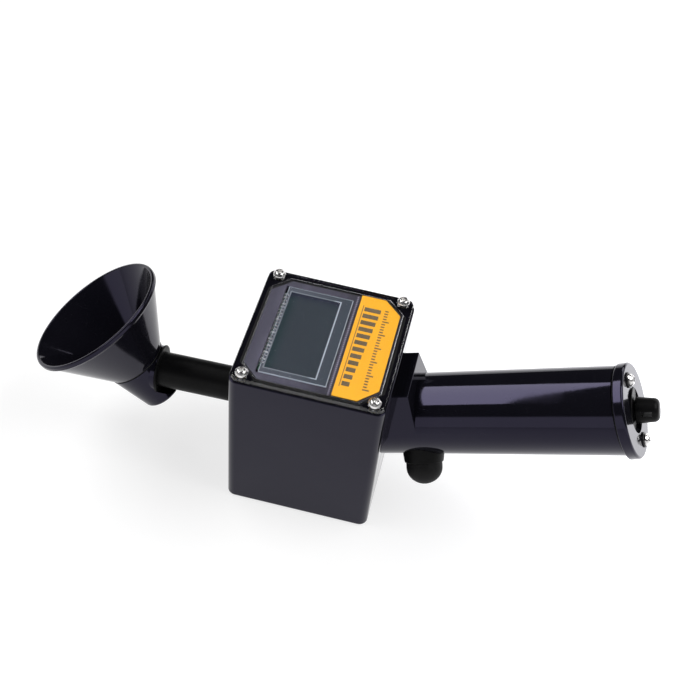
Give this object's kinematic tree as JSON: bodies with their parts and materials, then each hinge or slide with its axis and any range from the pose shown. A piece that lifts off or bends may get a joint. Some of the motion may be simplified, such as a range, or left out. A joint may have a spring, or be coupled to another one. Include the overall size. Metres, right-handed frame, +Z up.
{
  "type": "handheld milk conductivity tester",
  "caption": "Handheld tester: a tilted funnel cup on a hollow neck, an upright case with a windowed lid, and a round battery handle with a push button and end knob.",
  "frame": {"origin": "centre of the case's flat bottom, which is the resting face", "axes": "+X along the handle, away from the cup; +Z up out of the case's window; +Y to the left of the handle seen from the case"},
  "size_m": [0.2731, 0.0686, 0.1016],
  "materials": {
    "case_black": "glossy moulded black plastic with fine wear",
    "seal_rubber": "soft black rubber",
    "clear_lid": "clear polished plastic",
    "steel": "nickel plated screw steel",
    "brass": "turned brass",
    "label_yellow": null,
    "bezel_grey": "satin purple grey plastic",
    "lcd_glass": "polished display glass",
    "lcd_grey": "dark grey-blue display film",
    "tinned": "bright tinned metal",
    "board_green": "green solder mask",
    "ribbon_grey": "grey flat cable",
    "socket_ivory": "ivory nylon",
    "chip_black": "moulded chip resin",
    "matte_black": "matte black plastic",
    "cup_black": "glossy moulded black plastic",
    "wire_red": "red wire insulation",
    "handle_black": "glossy black plastic tube, lightly scuffed",
    "battery_skin": "printed steel battery can",
    "foam": "soft black foam",
    "cap_black": "polished black plastic",
    "washer_black": "black oxide washer",
    "knob_black": "satin black plastic",
    "boot_rubber": "matte moulded rubber",
    "plunger_white": "white acetal",
    "switch_blue": "moulded switch body",
    "wire_blue": "blue wire insulation"
  },
  "bodies": {
    "body": {"case_shell": "case_black", "case_gasket": "seal_rubber", "lid": "clear_lid", "lid_screws": "steel", "lid_inserts": "brass", "label_plate": "label_yellow", "display_bezel": "bezel_grey", "lcd_glass": "lcd_glass", "lcd_film": "lcd_grey", "lcd_pins": "tinned", "lcd_board": "board_green", "bezel_screws": "steel", "ribbon_cable": "ribbon_grey", "ribbon_sockets": "socket_ivory", "main_board": "board_green", "board_screws": "steel", "board_chips": "chip_black", "buzzer": "chip_black", "wire_grommet": "seal_rubber", "neck_tube": "matte_black", "neck_nut": "matte_black", "neck_gasket": "seal_rubber", "neck_collar": "matte_black", "cup": "cup_black", "cup_seal": "seal_rubber", "cup_base": "cup_black", "electrodes": "steel", "electrode_leads": "wire_red", "handle_shell": "handle_black", "handle_screws": "steel", "battery": "battery_skin", "battery_terminals": "tinned", "battery_snap": "matte_black", "battery_leads": "wire_red", "battery_foam": "foam", "end_cap": "cap_black", "end_gasket": "seal_rubber", "end_screws": "steel", "end_washers": "washer_black", "button_collar": "matte_black", "switch_body": "switch_blue", "switch_nut": "steel", "switch_leads": "wire_blue"},
    "button": {"button_boot": "boot_rubber", "button_plunger": "plunger_white"},
    "knob": {"knob": "knob_black", "knob_stud": "steel", "knob_clip": "steel"}
  },
  "joints": [
    {"name": "button_press", "type": "slide", "parent": "body", "child": "button", "axis": [-0.2658, 0.6428, 0.7185], "range_m": [0, 0.0015], "stiffness_N_per_m": 1500, "springref_m": -0.0004},
    {"name": "knob_turn", "type": "hinge", "parent": "body", "child": "knob", "pos_m": [0.13379, 0, 0.08414], "axis": [0.9379, 0, 0.3469], "continuous": true}
  ]
}
